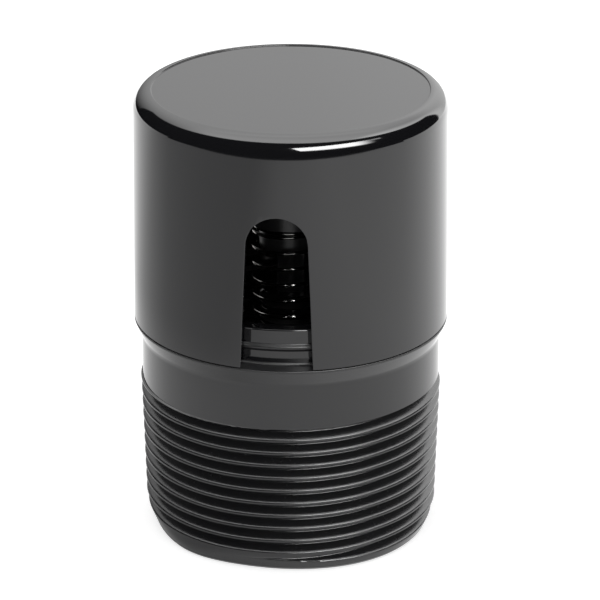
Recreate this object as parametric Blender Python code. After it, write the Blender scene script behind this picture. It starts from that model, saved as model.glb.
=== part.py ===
"""Air admittance valve for a sink drain. Metres, +Z up.

The origin is the centre of the open end of the male pipe thread. A moulded body carries
a slotted hood. Inside, a return spring stands on the body's spider and holds the stem up,
so that the washer on its plate shuts on a seat lip. Low pressure in the pipe draws the
stem down, and air passes from the slots through the spider into the bore.
"""

import math

import bmesh
import bpy
from mathutils import Matrix

MM = 0.001

# Facets: steps round the large turned shapes, the small ones, the wire and one coil
LARGE_STEPS = 48
SMALL_STEPS = 32
WIRE_SIDES = 6
COIL_STEPS = 18
ARC_STEPS = 3
LAP_STEPS = 2
MERGE_DISTANCE = 0.00001 * MM
SHARP_EDGE = math.radians(32)

# Gaps between pieces that touch, run or snap together
REST_GAP = 0.3 * MM
SEAM_GAP = 0.25 * MM
SPRING_GAP = 0.2 * MM
RUNNING_GAP = 0.3 * MM
SNAP_GAP = 0.35 * MM

# Taper pipe thread, 11.5 turns to the inch, 1 in 16 on the diameter
THREAD_PITCH = 25.4 / 11.5 * MM
THREAD_TAPER = 1 / 32
THREAD_CREST_RADIUS = 23.61 * MM
THREAD_DEPTH = 1.31 * MM
THREAD_CREST_WIDTH = 0.30 * MM
THREAD_FLANK = math.radians(30)
THREAD_LENGTH = 24.96 * MM
THREAD_LEAD_TURN = 0.11
GROOVE_START = 0.277 * MM
GROOVE_LENGTH = 25.35 * MM
GROOVE_RUNOUT_TURN = 0.3
CUTTER_OVERREACH = 0.2 * MM

# Pilot below the thread, neck above it and the shoulder under the hood
PILOT_RELIEF = 0.05 * MM
PILOT_CHAMFER = 0.20 * MM
FOOT_OVERREACH = 1.00 * MM
NECK_RADIUS = 24.10 * MM
NECK_CHAMFER = 0.14 * MM
LEDGE_HEIGHT = 35.40 * MM
SHOULDER_HEIGHT = 2.90 * MM
EDGE_ROUND = 0.25 * MM

# Collar inside the hood, with its snap bead
COLLAR_RADIUS = 22.50 * MM
COLLAR_WALL = 2.50 * MM
COLLAR_HEIGHT = 6.00 * MM
COLLAR_FOOT_ROUND = 0.35 * MM
BEAD_LIFT = 3.08 * MM
BEAD_HALF_HEIGHT = 0.48 * MM
BEAD_DEPTH = 0.38 * MM

# Bore, seat web and the lip that the washer shuts on
BORE_WALL = 3.30 * MM
BORE_MOUTH_CHAMFER = 0.50 * MM
WEB_DROP = 5.70 * MM
WEB_THICKNESS = 2.20 * MM
WEB_ROUND = 0.90 * MM
LIP_WIDTH = 1.40 * MM
LIP_HEIGHT = 1.20 * MM
LIP_NOSE = 0.45 * MM
PORT_CHAMFER = 0.30 * MM

# Spider: four arms, the spring seat and the stem guide
ARM_COUNT = 4
ARM_WIDTH = 2.20 * MM
ARM_HEIGHT = 2.20 * MM
ARM_LAP = 2.00 * MM
ARM_RISE = 0.40 * MM
ARM_TURN = math.radians(45)
SEAT_RISE = 0.70 * MM
SEAT_MARGIN = 0.65 * MM
HUB_DROP = 0.30 * MM
GUIDE_HEIGHT = 9.30 * MM
GUIDE_CHAMFER = 0.50 * MM

# Return spring, as it stands between its seat and the cap
SPRING_RADIUS = 6.25 * MM
WIRE_DIAMETER = 0.58 * MM
SPRING_LENGTH = 20.83 * MM
SPRING_TURNS = 9.0
CLOSED_TURNS = 1.0
SPRING_TIP_TURN = math.radians(-70)
SPRING_BORE_CLEARANCE = 0.60 * MM

# Plate, washer boss and stem
DISC_AIR_GAP = 2.50 * MM
SEAL_OVERLAP = 2.10 * MM
PLATE_THICKNESS = 2.00 * MM
PLATE_CHAMFER = 0.50 * MM
WASHER_THICKNESS = 2.00 * MM
WASHER_INSET = 0.40 * MM
WASHER_ROUND = 0.30 * MM
BOSS_RADIUS = 6.00 * MM
BOSS_LIP = 0.90 * MM
BOSS_LIP_HEIGHT = 0.70 * MM
STEM_RADIUS = 2.20 * MM
STEM_TRAVEL = 7.00 * MM

# Spring cap and the barbed head that holds it
CAP_MARGIN = 0.75 * MM
CAP_HEIGHT = 3.55 * MM
CAP_ROUND = 0.60 * MM
CAP_SOCKET_DEPTH = 2.10 * MM
CAP_SOCKET_GAP = 0.50 * MM
BARB_GRIP = 0.90 * MM
BARB_TIP_RADIUS = 1.50 * MM
BARB_HEIGHT = 1.60 * MM

# Hood and its slots
HOOD_WALL = 2.45 * MM
HOOD_DRAFT = 0.30 * MM
HOOD_INNER_DRAFT = 0.20 * MM
HOOD_TOP = 73.60 * MM
HOOD_ROOF = 2.60 * MM
HOOD_ROUND = 2.80 * MM
HOOD_INNER_ROUND = 1.20 * MM
HOOD_LEAD_CHAMFER = 0.30 * MM
DISH_MARGIN = 0.10 * MM
DISH_DEPTH = 0.25 * MM
SLOT_COUNT = 3
SLOT_RADIUS = 4.70 * MM
SLOT_ARCH_CENTRE = 56.25 * MM
SLOT_DRAFT = math.radians(2.66)
SLOT_OVERREACH = 2.00 * MM

# Colours of the mouldings, the rubber and the spring wire
BLACK_PLASTIC = (0.012, 0.012, 0.013, 1.0)
STEM_PLASTIC = (0.020, 0.020, 0.021, 1.0)
RUBBER = (0.030, 0.030, 0.031, 1.0)
STEEL = (0.62, 0.61, 0.59, 1.0)


# Sizes that follow from the values above
BORE_RADIUS = THREAD_CREST_RADIUS - THREAD_DEPTH - BORE_WALL
DISC_RADIUS = BORE_RADIUS - DISC_AIR_GAP
PORT_RADIUS = DISC_RADIUS - SEAL_OVERLAP - LIP_WIDTH
WEB_TOP = LEDGE_HEIGHT - WEB_DROP
WEB_BOTTOM = WEB_TOP - WEB_THICKNESS
LIP_BOTTOM = WEB_BOTTOM - LIP_HEIGHT
COLLAR_INNER = COLLAR_RADIUS - COLLAR_WALL
COLLAR_RIM = LEDGE_HEIGHT + COLLAR_HEIGHT
BEAD_CENTRE = LEDGE_HEIGHT + BEAD_LIFT
HOOD_FOOT_INNER = COLLAR_RADIUS + SNAP_GAP
HOOD_FOOT_RADIUS = HOOD_FOOT_INNER + HOOD_WALL
HOOD_HEAD_RADIUS = HOOD_FOOT_RADIUS - HOOD_DRAFT
HOOD_FOOT = LEDGE_HEIGHT + SEAM_GAP
WIRE_RADIUS = WIRE_DIAMETER / 2
COIL_RADIUS = SPRING_RADIUS - WIRE_RADIUS
SPRING_SEAT = WEB_TOP + SEAT_RISE
SPRING_FOOT = SPRING_SEAT + SPRING_GAP
CAP_BOTTOM = SPRING_FOOT + SPRING_LENGTH + SPRING_GAP
GUIDE_RADIUS = SPRING_RADIUS - WIRE_DIAMETER - SPRING_BORE_CLEARANCE
GUIDE_BORE = STEM_RADIUS + RUNNING_GAP
GUIDE_TOP = SPRING_SEAT + GUIDE_HEIGHT
CAP_BOSS_BOTTOM = GUIDE_TOP + STEM_TRAVEL + REST_GAP
WASHER_TOP = LIP_BOTTOM - REST_GAP
WASHER_BOTTOM = WASHER_TOP - WASHER_THICKNESS
PLATE_TOP = WASHER_BOTTOM - REST_GAP
PLATE_BOTTOM = PLATE_TOP - PLATE_THICKNESS


def remove_scene_objects():
    """Empty the scene, its start-up objects included."""
    for item in list(bpy.data.objects):
        bpy.data.objects.remove(item, do_unlink=True)


def plastic(name, colour, roughness, metallic=0.0):
    """A Principled material with one colour, roughness and metallic value."""
    material = bpy.data.materials.new(name)
    material.use_nodes = True
    shader = material.node_tree.nodes["Principled BSDF"]
    shader.inputs["Base Color"].default_value = colour
    shader.inputs["Roughness"].default_value = roughness
    shader.inputs["Metallic"].default_value = metallic
    material.diffuse_color = colour
    return material


def finished(name, shape, material=None):
    """Turn a bmesh into an object, shaded smooth up to its sharp edges."""
    bmesh.ops.remove_doubles(shape, verts=shape.verts, dist=MERGE_DISTANCE)
    bmesh.ops.recalc_face_normals(shape, faces=shape.faces)
    mesh = bpy.data.meshes.new(name)
    shape.to_mesh(mesh)
    shape.free()
    mesh.shade_smooth()
    mesh.set_sharp_from_angle(angle=SHARP_EDGE)
    piece = bpy.data.objects.new(name, mesh)
    bpy.context.collection.objects.link(piece)
    if material:
        mesh.materials.append(material)
    return piece


def cutter_from(piece):
    """Mark an object as a construction shape that isn't a piece of the part."""
    piece.hide_render = True
    piece.display_type = "WIRE"
    return piece


def combine(piece, other, operation):
    """Add an exact Boolean with a construction shape."""
    modifier = piece.modifiers.new(other.name, "BOOLEAN")
    modifier.operation = operation
    modifier.solver = "EXACT"
    modifier.object = cutter_from(other)


def arc(centre_radius, centre_height, radius, start, end, steps=ARC_STEPS):
    """Points on an arc in a (radius, height) outline, angles in degrees from outward."""
    points = []
    for step in range(steps + 1):
        angle = math.radians(start + (end - start) * step / steps)
        across = centre_radius + radius * math.cos(angle)
        up = centre_height + radius * math.sin(angle)
        points.append((across, up))
    return points


def turned(name, outline, material=None, steps=LARGE_STEPS):
    """Spin an outline of (radius, height) points round Z; it closes on itself or the axis."""
    shape = bmesh.new()
    points = [shape.verts.new((radius, 0.0, height)) for radius, height in outline]
    edges = [shape.edges.new(pair) for pair in zip(points, points[1:])]
    meets_axis = outline[0][0] == 0.0 and outline[-1][0] == 0.0
    if not meets_axis:
        edges.append(shape.edges.new((points[-1], points[0])))
    bmesh.ops.spin(
        shape,
        geom=points + edges,
        cent=(0.0, 0.0, 0.0),
        axis=(0.0, 0.0, 1.0),
        angle=math.tau,
        steps=steps,
        use_merge=True,
    )
    return finished(name, shape, material)


def prism(name, outline, low, high, turn=None):
    """Raise a flat outline of (x, y) points from low to high, then turn the result."""
    shape = bmesh.new()
    face = shape.faces.new([shape.verts.new((x, y, low)) for x, y in outline])
    raised = bmesh.ops.extrude_face_region(shape, geom=[face])
    corners = [item for item in raised["geom"] if isinstance(item, bmesh.types.BMVert)]
    bmesh.ops.translate(shape, verts=corners, vec=(0.0, 0.0, high - low))
    if turn:
        bmesh.ops.transform(shape, matrix=turn, verts=shape.verts)
    return finished(name, shape)


def swept(name, rings, material=None):
    """Skin a row of rings of points, each with as many points, and cap both ends."""
    shape = bmesh.new()
    loops = [[shape.verts.new(point) for point in ring] for ring in rings]
    sides = len(loops[0])
    for loop, following in zip(loops, loops[1:]):
        for side in range(sides):
            after = (side + 1) % sides
            shape.faces.new((loop[side], loop[after], following[after], following[side]))
    shape.faces.new(loops[0])
    shape.faces.new(loops[-1])
    return finished(name, shape, material)


def crest_radius(height):
    """Outside radius of the taper thread at a height."""
    return THREAD_CREST_RADIUS + THREAD_TAPER * height


def pilot_radius(height):
    """Outside radius of the plain pilot, a little inside the thread's root."""
    return crest_radius(height) - THREAD_DEPTH - PILOT_RELIEF


def groove_height(turn):
    """Height of the groove's middle after a number of turns from the front."""
    return GROOVE_START + THREAD_PITCH * turn


def helical_cutter(name, steps, section):
    """Sweep a section up the right-hand helix; it gives (radius, height) corners at a turn."""
    rings = []
    for step in steps:
        turn = step / LARGE_STEPS
        angle = math.tau * turn - math.pi / 2
        ring = [(r * math.cos(angle), r * math.sin(angle), z) for r, z in section(turn)]
        rings.append(ring)
    return swept(name, rings)


def groove_section(turn):
    """Section of the thread's groove, which lifts out of the neck at its end."""
    slope = math.tan(THREAD_FLANK)
    crest_gap = THREAD_PITCH - THREAD_CREST_WIDTH
    root_half = crest_gap / 2 - THREAD_DEPTH * slope
    rim_half = crest_gap / 2 + CUTTER_OVERREACH * slope
    depth = THREAD_DEPTH + CUTTER_OVERREACH
    height = groove_height(turn)
    runout = max(0.0, (height - GROOVE_LENGTH) / (GROOVE_RUNOUT_TURN * THREAD_PITCH))
    root = crest_radius(height) - THREAD_DEPTH + depth * runout
    return (
        (root, height - root_half),
        (root + depth, height - rim_half),
        (root + depth, height + rim_half),
        (root, height + root_half),
    )


def foot_section(turn):
    """Section that bares the pilot below the first turn, and lifts where the first crest rises."""
    full_turn = 1 + 1 / LARGE_STEPS
    lead = max(0.0, (turn - full_turn) / THREAD_LEAD_TURN)
    lift = lead * (THREAD_DEPTH + PILOT_RELIEF + CUTTER_OVERREACH)
    top = groove_height(turn)
    rim = crest_radius(top) + 2 * CUTTER_OVERREACH + lift
    chamfer_radius = pilot_radius(PILOT_CHAMFER) + lift
    return (
        (pilot_radius(top) + lift, top),
        (chamfer_radius, PILOT_CHAMFER),
        (chamfer_radius - PILOT_CHAMFER - FOOT_OVERREACH, -FOOT_OVERREACH),
        (rim, -FOOT_OVERREACH),
        (rim, top),
    )


def thread_cutters():
    """The groove, the foot below its first turn, and the lead where the crest starts."""
    runout_end = GROOVE_LENGTH + GROOVE_RUNOUT_TURN * THREAD_PITCH
    groove_end = math.ceil((runout_end - GROOVE_START) / THREAD_PITCH * LARGE_STEPS)
    foot_end = LARGE_STEPS + 1
    lead_end = foot_end + math.ceil(THREAD_LEAD_TURN * LARGE_STEPS)
    return (
        helical_cutter("thread_groove", range(groove_end + 1), groove_section),
        helical_cutter("thread_foot", range(1, foot_end), foot_section),
        helical_cutter("thread_lead", range(foot_end - LAP_STEPS, lead_end + 1), foot_section),
    )


def body_outline():
    """Section of the body moulding, from the foot of the bore outwards and round."""
    bead_arc = [
        (COLLAR_RADIUS + BEAD_DEPTH * math.cos(angle), BEAD_CENTRE + BEAD_HALF_HEIGHT * math.sin(angle))
        for angle in (math.pi * (step / (2 * ARC_STEPS) - 0.5) for step in range(2 * ARC_STEPS + 1))
    ]
    outside = [
        (BORE_RADIUS + BORE_MOUTH_CHAMFER, 0.0),
        (crest_radius(0.0), 0.0),
        (crest_radius(THREAD_LENGTH), THREAD_LENGTH),
        (NECK_RADIUS, THREAD_LENGTH + NECK_CHAMFER),
        (NECK_RADIUS, LEDGE_HEIGHT - SHOULDER_HEIGHT),
    ]
    ledge = arc(HOOD_FOOT_RADIUS - EDGE_ROUND, LEDGE_HEIGHT - EDGE_ROUND, EDGE_ROUND, 0, 90)
    collar_foot = arc(
        COLLAR_RADIUS + COLLAR_FOOT_ROUND, LEDGE_HEIGHT + COLLAR_FOOT_ROUND, COLLAR_FOOT_ROUND, 270, 180
    )
    rim = arc(COLLAR_RADIUS - EDGE_ROUND, COLLAR_RIM - EDGE_ROUND, EDGE_ROUND, 0, 90)
    rim += arc(COLLAR_INNER + EDGE_ROUND, COLLAR_RIM - EDGE_ROUND, EDGE_ROUND, 90, 180)
    well = arc(COLLAR_INNER - WEB_ROUND, WEB_TOP + WEB_ROUND, WEB_ROUND, 0, -90)
    port = [
        (PORT_RADIUS + PORT_CHAMFER, WEB_TOP),
        (PORT_RADIUS, WEB_TOP - PORT_CHAMFER),
    ]
    lip = arc(PORT_RADIUS + LIP_NOSE, LIP_BOTTOM + LIP_NOSE, LIP_NOSE, 180, 270)
    lip += arc(PORT_RADIUS + LIP_WIDTH - LIP_NOSE, LIP_BOTTOM + LIP_NOSE, LIP_NOSE, 270, 360)
    lip.append((PORT_RADIUS + LIP_WIDTH, WEB_BOTTOM))
    bore = arc(BORE_RADIUS - WEB_ROUND, WEB_BOTTOM - WEB_ROUND, WEB_ROUND, 90, 0)
    bore.append((BORE_RADIUS, BORE_MOUTH_CHAMFER))
    return outside + ledge + collar_foot + bead_arc + rim + well + port + lip + bore


def spider_cross():
    """Four flat arms in one cross, lapped over the seat web."""
    reach = PORT_RADIUS + ARM_LAP
    half = ARM_WIDTH / 2
    inner = half / math.tan(math.pi / ARM_COUNT)
    outline = []
    for arm in range(ARM_COUNT):
        turn = ARM_TURN + math.tau * arm / ARM_COUNT
        along = (math.cos(turn), math.sin(turn))
        across = (-along[1], along[0])
        for distance, side in ((inner, -half), (reach, -half), (reach, half)):
            x = along[0] * distance + across[0] * side
            y = along[1] * distance + across[1] * side
            outline.append((x, y))
    top = WEB_TOP + ARM_RISE
    return prism("spider_cross", outline, top - ARM_HEIGHT, top)


def spider_hub():
    """Spring seat and stem guide, solid until the guide bore is cut."""
    outline = [
        (0.0, WEB_BOTTOM + HUB_DROP),
        (SPRING_RADIUS + SEAT_MARGIN, WEB_BOTTOM + HUB_DROP),
        (SPRING_RADIUS + SEAT_MARGIN, SPRING_SEAT),
        (GUIDE_RADIUS, SPRING_SEAT),
        (GUIDE_RADIUS, GUIDE_TOP - GUIDE_CHAMFER),
        (GUIDE_RADIUS - GUIDE_CHAMFER, GUIDE_TOP),
        (0.0, GUIDE_TOP),
    ]
    return turned("spider_hub", outline, steps=SMALL_STEPS)


def guide_drill():
    """Cutter for the bore that the stem slides in."""
    outline = [
        (0.0, WEB_BOTTOM - ARM_HEIGHT),
        (GUIDE_BORE, WEB_BOTTOM - ARM_HEIGHT),
        (GUIDE_BORE, GUIDE_TOP + ARM_HEIGHT),
        (0.0, GUIDE_TOP + ARM_HEIGHT),
    ]
    return turned("guide_drill", outline, steps=SMALL_STEPS)


def build_vent_body(material):
    """Threaded body, collar, seat and spider in one moulding."""
    body = turned("vent_body", body_outline(), material)
    for thread_cutter in thread_cutters():
        combine(body, thread_cutter, "DIFFERENCE")
    combine(body, spider_cross(), "UNION")
    combine(body, spider_hub(), "UNION")
    combine(body, guide_drill(), "DIFFERENCE")
    return body


def hood_outline():
    """Section of the hood, from the axis over the dished top and up the inside."""
    roof_under = HOOD_TOP - HOOD_ROOF
    head_inner = HOOD_FOOT_INNER - HOOD_INNER_DRAFT
    dish = HOOD_HEAD_RADIUS - HOOD_ROUND - DISH_MARGIN
    snap_depth = BEAD_DEPTH + SNAP_GAP / 2
    snap_half = BEAD_HALF_HEIGHT + SNAP_GAP
    outline = [
        (0.0, HOOD_TOP - DISH_DEPTH),
        (dish, HOOD_TOP - DISH_DEPTH),
        (dish, HOOD_TOP),
    ]
    outline += arc(HOOD_HEAD_RADIUS - HOOD_ROUND, HOOD_TOP - HOOD_ROUND, HOOD_ROUND, 90, 0)
    outline += [
        (HOOD_FOOT_RADIUS, HOOD_FOOT),
        (HOOD_FOOT_INNER + COLLAR_FOOT_ROUND, HOOD_FOOT),
        (HOOD_FOOT_INNER, HOOD_FOOT + HOOD_LEAD_CHAMFER),
        (HOOD_FOOT_INNER, BEAD_CENTRE - snap_half),
        (HOOD_FOOT_INNER + snap_depth, BEAD_CENTRE - BEAD_HALF_HEIGHT / 2),
        (HOOD_FOOT_INNER + snap_depth, BEAD_CENTRE + BEAD_HALF_HEIGHT / 2),
        (HOOD_FOOT_INNER, BEAD_CENTRE + snap_half),
    ]
    outline += arc(
        head_inner - HOOD_INNER_ROUND, roof_under - HOOD_INNER_ROUND, HOOD_INNER_ROUND, 0, 90
    )
    outline.append((0.0, roof_under))
    return outline


def slot_cutter(index):
    """One arched slot, open at the hood's foot and wider there by its draft."""
    foot = HOOD_FOOT - SLOT_OVERREACH
    foot_half = SLOT_RADIUS + (SLOT_ARCH_CENTRE - foot) * math.tan(SLOT_DRAFT)
    outline = [(-foot_half, foot), (foot_half, foot)]
    outline += arc(0.0, SLOT_ARCH_CENTRE, SLOT_RADIUS, 0, 180, steps=3 * ARC_STEPS)
    inner = HOOD_FOOT_INNER - HOOD_INNER_DRAFT - SLOT_OVERREACH
    outer = HOOD_FOOT_RADIUS + SLOT_OVERREACH
    stand_up = Matrix.Rotation(math.pi / 2, 4, "X")
    around = Matrix.Rotation(math.tau * index / SLOT_COUNT, 4, "Z")
    return prism(f"slot_cutter_{index + 1}", outline, inner, outer, around @ stand_up)


def build_hood(material):
    """Slotted hood that snaps over the collar."""
    hood = turned("hood", hood_outline(), material)
    for index in range(SLOT_COUNT):
        combine(hood, slot_cutter(index), "DIFFERENCE")
    return hood


def build_valve_stem(material):
    """Plate, washer boss, stem and barbed head in one moulding."""
    lip_bottom = WASHER_TOP + REST_GAP
    lip_top = lip_bottom + BOSS_LIP_HEIGHT
    head_bottom = CAP_BOTTOM + CAP_HEIGHT - CAP_SOCKET_DEPTH + REST_GAP
    head_top = head_bottom + BARB_HEIGHT
    outline = [
        (0.0, PLATE_BOTTOM),
        (DISC_RADIUS - PLATE_CHAMFER, PLATE_BOTTOM),
        (DISC_RADIUS, PLATE_BOTTOM + PLATE_CHAMFER),
        (DISC_RADIUS, PLATE_TOP),
        (BOSS_RADIUS, PLATE_TOP),
        (BOSS_RADIUS, lip_bottom),
        (BOSS_RADIUS + BOSS_LIP, lip_bottom),
        (BOSS_RADIUS, lip_top),
        (STEM_RADIUS, lip_top),
        (STEM_RADIUS, head_bottom),
        (STEM_RADIUS + BARB_GRIP, head_bottom),
        (BARB_TIP_RADIUS, head_top),
        (0.0, head_top),
    ]
    return turned("valve_stem", outline, material, SMALL_STEPS)


def build_seal_washer(material):
    """Rubber ring round the boss, with rounded outer edges."""
    outer = DISC_RADIUS - WASHER_INSET
    inner = BOSS_RADIUS + REST_GAP
    outline = [(inner, WASHER_TOP), (inner, WASHER_BOTTOM)]
    outline += arc(outer - WASHER_ROUND, WASHER_BOTTOM + WASHER_ROUND, WASHER_ROUND, -90, 0)
    outline += arc(outer - WASHER_ROUND, WASHER_TOP - WASHER_ROUND, WASHER_ROUND, 0, 90)
    return turned("seal_washer", outline, material, SMALL_STEPS)


def build_spring_cap(material):
    """Retainer with a boss inside the spring and a socket for the barbed head."""
    outer = SPRING_RADIUS + CAP_MARGIN
    hole = STEM_RADIUS + RUNNING_GAP
    socket = STEM_RADIUS + BARB_GRIP + CAP_SOCKET_GAP
    cap_top = CAP_BOTTOM + CAP_HEIGHT
    outline = [
        (hole, CAP_BOSS_BOTTOM),
        (GUIDE_RADIUS - GUIDE_CHAMFER, CAP_BOSS_BOTTOM),
        (GUIDE_RADIUS, CAP_BOSS_BOTTOM + GUIDE_CHAMFER),
        (GUIDE_RADIUS, CAP_BOTTOM),
        (outer, CAP_BOTTOM),
    ]
    outline += arc(outer - CAP_ROUND, cap_top - CAP_ROUND, CAP_ROUND, 0, 90)
    outline += [
        (socket, cap_top),
        (socket, cap_top - CAP_SOCKET_DEPTH),
        (hole, cap_top - CAP_SOCKET_DEPTH),
    ]
    return turned("spring_cap", outline, material, SMALL_STEPS)


def coil_height(turn):
    """Height of the wire's centre after a number of turns, close wound at both ends."""
    open_turns = SPRING_TURNS - 2 * CLOSED_TURNS
    rise = SPRING_LENGTH - WIRE_DIAMETER
    open_rise = rise - 2 * CLOSED_TURNS * WIRE_DIAMETER
    from_end = min(turn, CLOSED_TURNS) + max(0.0, turn - CLOSED_TURNS - open_turns)
    in_open = min(max(turn - CLOSED_TURNS, 0.0), open_turns)
    return SPRING_FOOT + WIRE_RADIUS + from_end * WIRE_DIAMETER + in_open * open_rise / open_turns


def build_return_spring(material):
    """Right-hand compression spring of round wire."""
    steps = round(SPRING_TURNS * COIL_STEPS)
    start = SPRING_TIP_TURN - math.tau * SPRING_TURNS
    rings = []
    for step in range(steps + 1):
        turn = SPRING_TURNS * step / steps
        angle = start + math.tau * turn
        height = coil_height(turn)
        ring = []
        for side in range(WIRE_SIDES):
            around = math.tau * side / WIRE_SIDES
            radius = COIL_RADIUS + WIRE_RADIUS * math.cos(around)
            level = height + WIRE_RADIUS * math.sin(around)
            ring.append((radius * math.cos(angle), radius * math.sin(angle), level))
        rings.append(ring)
    return swept("return_spring", rings, material)


def main():
    """Build every piece of the valve."""
    remove_scene_objects()
    moulding = plastic("black_abs", BLACK_PLASTIC, 0.12)
    stem_moulding = plastic("stem_plastic", STEM_PLASTIC, 0.35)
    rubber = plastic("seal_rubber", RUBBER, 0.6)
    steel = plastic("spring_steel", STEEL, 0.25, 1.0)
    build_vent_body(moulding)
    build_hood(moulding)
    build_valve_stem(stem_moulding)
    build_seal_washer(rubber)
    build_return_spring(steel)
    build_spring_cap(stem_moulding)


main()
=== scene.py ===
"""Looks of a black air admittance valve, made round its packed CAD frame.

Each operator models one piece over its CAD node, in metres and in the frame's own place,
and gives it its finish. The last one sets the floor, the light and the camera.
"""

import math

import bmesh
import bpy
import numpy as np
from bpy.props import FloatProperty, FloatVectorProperty, IntProperty, PointerProperty
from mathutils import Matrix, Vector


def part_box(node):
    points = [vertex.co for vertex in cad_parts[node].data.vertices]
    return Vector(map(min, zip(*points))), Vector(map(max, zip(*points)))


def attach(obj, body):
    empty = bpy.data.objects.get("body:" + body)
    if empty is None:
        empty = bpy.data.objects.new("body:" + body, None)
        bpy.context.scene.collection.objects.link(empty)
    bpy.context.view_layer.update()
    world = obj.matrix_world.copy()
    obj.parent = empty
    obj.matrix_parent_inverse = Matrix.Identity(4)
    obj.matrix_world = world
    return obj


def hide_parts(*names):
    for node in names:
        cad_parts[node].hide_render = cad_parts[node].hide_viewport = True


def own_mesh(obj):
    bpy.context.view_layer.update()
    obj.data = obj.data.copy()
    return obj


bl_info = {
    "name": "Air Admittance Valve",
    "version": (1, 0, 0),
    "blender": (4, 5, 0),
    "location": "3D View > Sidebar > Vent Valve",
    "description": "Models and finishes a black air admittance valve with a pipe thread",
    "category": "Object",
}

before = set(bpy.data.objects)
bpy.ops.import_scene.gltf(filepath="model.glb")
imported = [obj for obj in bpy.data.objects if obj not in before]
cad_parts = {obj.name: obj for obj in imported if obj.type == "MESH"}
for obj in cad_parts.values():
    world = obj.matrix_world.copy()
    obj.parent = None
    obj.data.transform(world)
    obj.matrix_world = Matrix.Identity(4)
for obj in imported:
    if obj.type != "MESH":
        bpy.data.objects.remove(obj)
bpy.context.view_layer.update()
MM = 0.001
PLACE_TOLERANCE = 0.0005 * MM
MERGE_DISTANCE = 0.002 * MM

# Places that the packed nodes give
HOOD_LOW, HOOD_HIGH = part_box("hood")
BODY_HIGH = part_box("vent_body")[1]
STEM_LOW, STEM_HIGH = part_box("valve_stem")
WASHER_LOW, WASHER_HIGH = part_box("seal_washer")
SPRING_LOW, SPRING_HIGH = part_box("return_spring")
CAP_LOW, CAP_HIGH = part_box("spring_cap")


def length(name, description, millimetres):
    """A length property whose default is given in millimetres."""
    return FloatProperty(
        name=name,
        description=description,
        default=millimetres * MM,
        subtype="DISTANCE",
        unit="LENGTH",
        precision=5,
    )


def angle(name, description, degrees):
    """An angle property whose default is given in degrees."""
    return FloatProperty(
        name=name,
        description=description,
        default=math.radians(degrees),
        subtype="ANGLE",
        unit="ROTATION",
    )


def factor(name, description, value):
    """A plain number from zero to one."""
    return FloatProperty(name=name, description=description, default=value, min=0.0, max=1.0)


def number(name, description, value):
    """A plain number that is never below zero."""
    return FloatProperty(name=name, description=description, default=value, min=0.0)


def colour(name, description, value):
    """A colour property."""
    return FloatVectorProperty(
        name=name, description=description, default=value, size=3, subtype="COLOR", min=0.0, max=1.0
    )


def count(name, description, value):
    """A whole number of steps, turns or copies."""
    return IntProperty(name=name, description=description, default=value, min=1)


class VentDetail(bpy.types.PropertyGroup):
    """How finely the turned and wound shapes are divided."""

    body_sides: count("Body sides", "Steps round the threaded body", 144)
    hood_sides: count("Hood sides", "Steps round the hood", 240)
    small_sides: count("Small sides", "Steps round the stem, the washer and the cap", 96)
    fillet_steps: count("Fillet steps", "Steps in each rounded corner of a section", 4)
    wire_sides: count("Wire sides", "Sides of the spring wire", 16)
    coil_steps: count("Coil steps", "Steps in one turn of the spring", 72)
    sharp_angle: angle("Sharp angle", "Edges over this angle stay sharp", 32)


class VentThread(bpy.types.PropertyGroup):
    """The male taper pipe thread."""

    pitch: length("Pitch", "Rise of the thread in one turn", 25.4 / 11.5)
    taper: factor("Taper", "Growth of the radius with height", 1 / 32)
    crest_radius: length("Crest radius", "Radius of the crests at the open end", 23.61)
    depth: length("Depth", "Depth of the groove under the crests", 1.47)
    flank_angle: angle("Flank angle", "Slope of each side of the groove", 30)
    upper_blend: length("Upper blend", "How far the crests are rounded on top", 0.28)
    lower_blend: length("Lower blend", "How far the crests are rounded underneath", 0.04)
    root_width: length("Root width", "Width of the groove's floor", 0.14)
    root_blend: length("Root blend", "How far the root is rounded", 0.14)
    top: length("Top", "Height at which the crests end under the neck", 24.96)
    top_chamfer: length("Top chamfer", "Height of the slope from the crests to the neck", 0.14)
    groove_start: length("Groove start", "Height of the groove at the front, in its first turn", -0.03)
    groove_end: length("Groove end", "Height at which the groove starts to run out", 25.35)
    runout_turn: factor("Run-out", "Turns in which the groove lifts out of the neck", 0.30)
    cut_start: factor("Cut start", "Turn at which the groove starts to come in", 0.817)
    cut_turn: factor("Cut", "Turns in which the groove reaches its depth", 0.303)
    rim_depth: length("Rim depth", "How far the foot's rim lies under the crests", 1.41)
    rim_slope: factor("Rim slope", "Growth of the foot's radius with height", 0.42)
    rim_blend: length("Rim blend", "Round between the foot and the crests", 0.30)


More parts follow.
